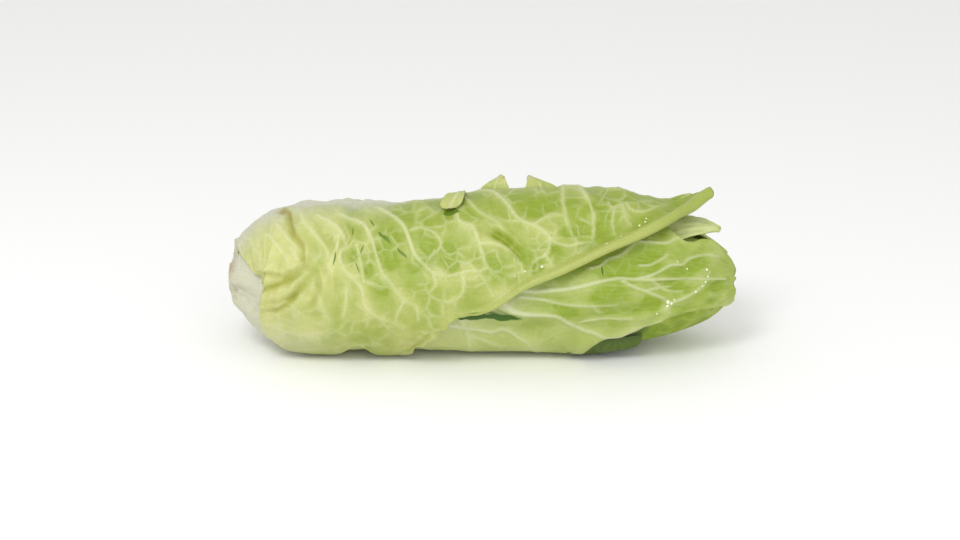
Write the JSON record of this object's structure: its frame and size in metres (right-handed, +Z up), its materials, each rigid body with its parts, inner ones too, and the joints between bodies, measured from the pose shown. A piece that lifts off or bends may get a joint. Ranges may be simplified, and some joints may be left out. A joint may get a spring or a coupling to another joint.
{
  "type": "sugarloaf radicchio head",
  "caption": "Long closed head of green sugarloaf radicchio lying on its side, with pale ribbed leaves wrapped round a tight heart and a cut stem.",
  "frame": {"origin": "on the surface that the head lies on, under the middle of its box", "axes": "+X along the head from the cut stem to the leaf tips, -Y the side that the picture shows, +Z up"},
  "size_m": [0.2992, 0.1036, 0.1028],
  "materials": {
    "cut_face": "dry cut plant tissue, matt",
    "heart_leaf": "young leaf, soft sheen",
    "pale_leaf": "leaf, soft sheen",
    "green_leaf": "waxy leaf, soft sheen"
  },
  "bodies": {
    "root": {"cut_stem": "cut_face", "heart": "heart_leaf", "leaf_back": "pale_leaf", "leaf_back_low": "pale_leaf", "leaf_crown": "pale_leaf", "leaf_front": "green_leaf", "leaf_under": "pale_leaf", "leaf_wrapper": "green_leaf"}
  },
  "joints": []
}
